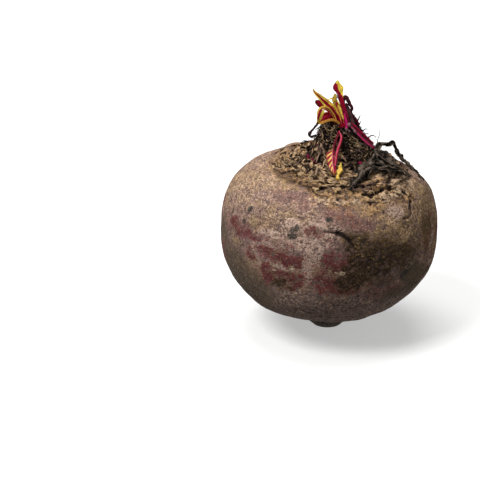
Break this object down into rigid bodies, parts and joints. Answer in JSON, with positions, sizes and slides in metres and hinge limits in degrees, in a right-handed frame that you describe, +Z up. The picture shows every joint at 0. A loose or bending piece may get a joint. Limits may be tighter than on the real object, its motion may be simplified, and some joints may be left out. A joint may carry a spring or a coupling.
{
  "type": "beetroot",
  "caption": "Stored beetroot with a corky crown, a fibrous neck, short young leaves and one withered leaf, standing on its cut taproot.",
  "frame": {"origin": "middle of the taproot's flat cut end, which the beet stands on", "axes": "+Z up along the root towards its crown; -Y is the front, where the striped leaf hangs; +X is the side of the withered leaf"},
  "size_m": [0.0917, 0.09, 0.1099],
  "materials": {
    "root_skin": "dusty mauve and tan skin with crimson patches, matt",
    "neck_fibre": "dry brown fibres, matt",
    "leaf_crimson": "fresh crimson leaf, satin",
    "leaf_yellow": "fresh yellow leaf with crimson veins, satin",
    "petiole_pink": "fresh pink-crimson leaf stalk, satin",
    "strand_dark": "dry dark stalk, matt",
    "withered_dark": "withered leaf, crumpled and matt",
    "bud_crimson": "small crimson bud, satin"
  },
  "bodies": {
    "root": {"root": "root_skin", "crown_neck": "neck_fibre", "leaf_tall": "leaf_crimson", "leaf_lance": "leaf_yellow", "leaf_inner": "leaf_yellow", "leaf_spoon": "leaf_crimson", "leaf_arch": "leaf_yellow", "leaf_low": "leaf_crimson", "leaf_striped": "leaf_yellow", "leaf_bud": "leaf_yellow", "leaf_wilted": "strand_dark", "dry_stalk": "strand_dark", "loop_strand": "strand_dark", "petiole_right": "petiole_pink", "petiole_front": "petiole_pink", "withered_leaf": "withered_dark", "bud_1": "bud_crimson", "bud_2": "bud_crimson", "bud_3": "bud_crimson", "bud_4": "bud_crimson"}
  },
  "joints": []
}
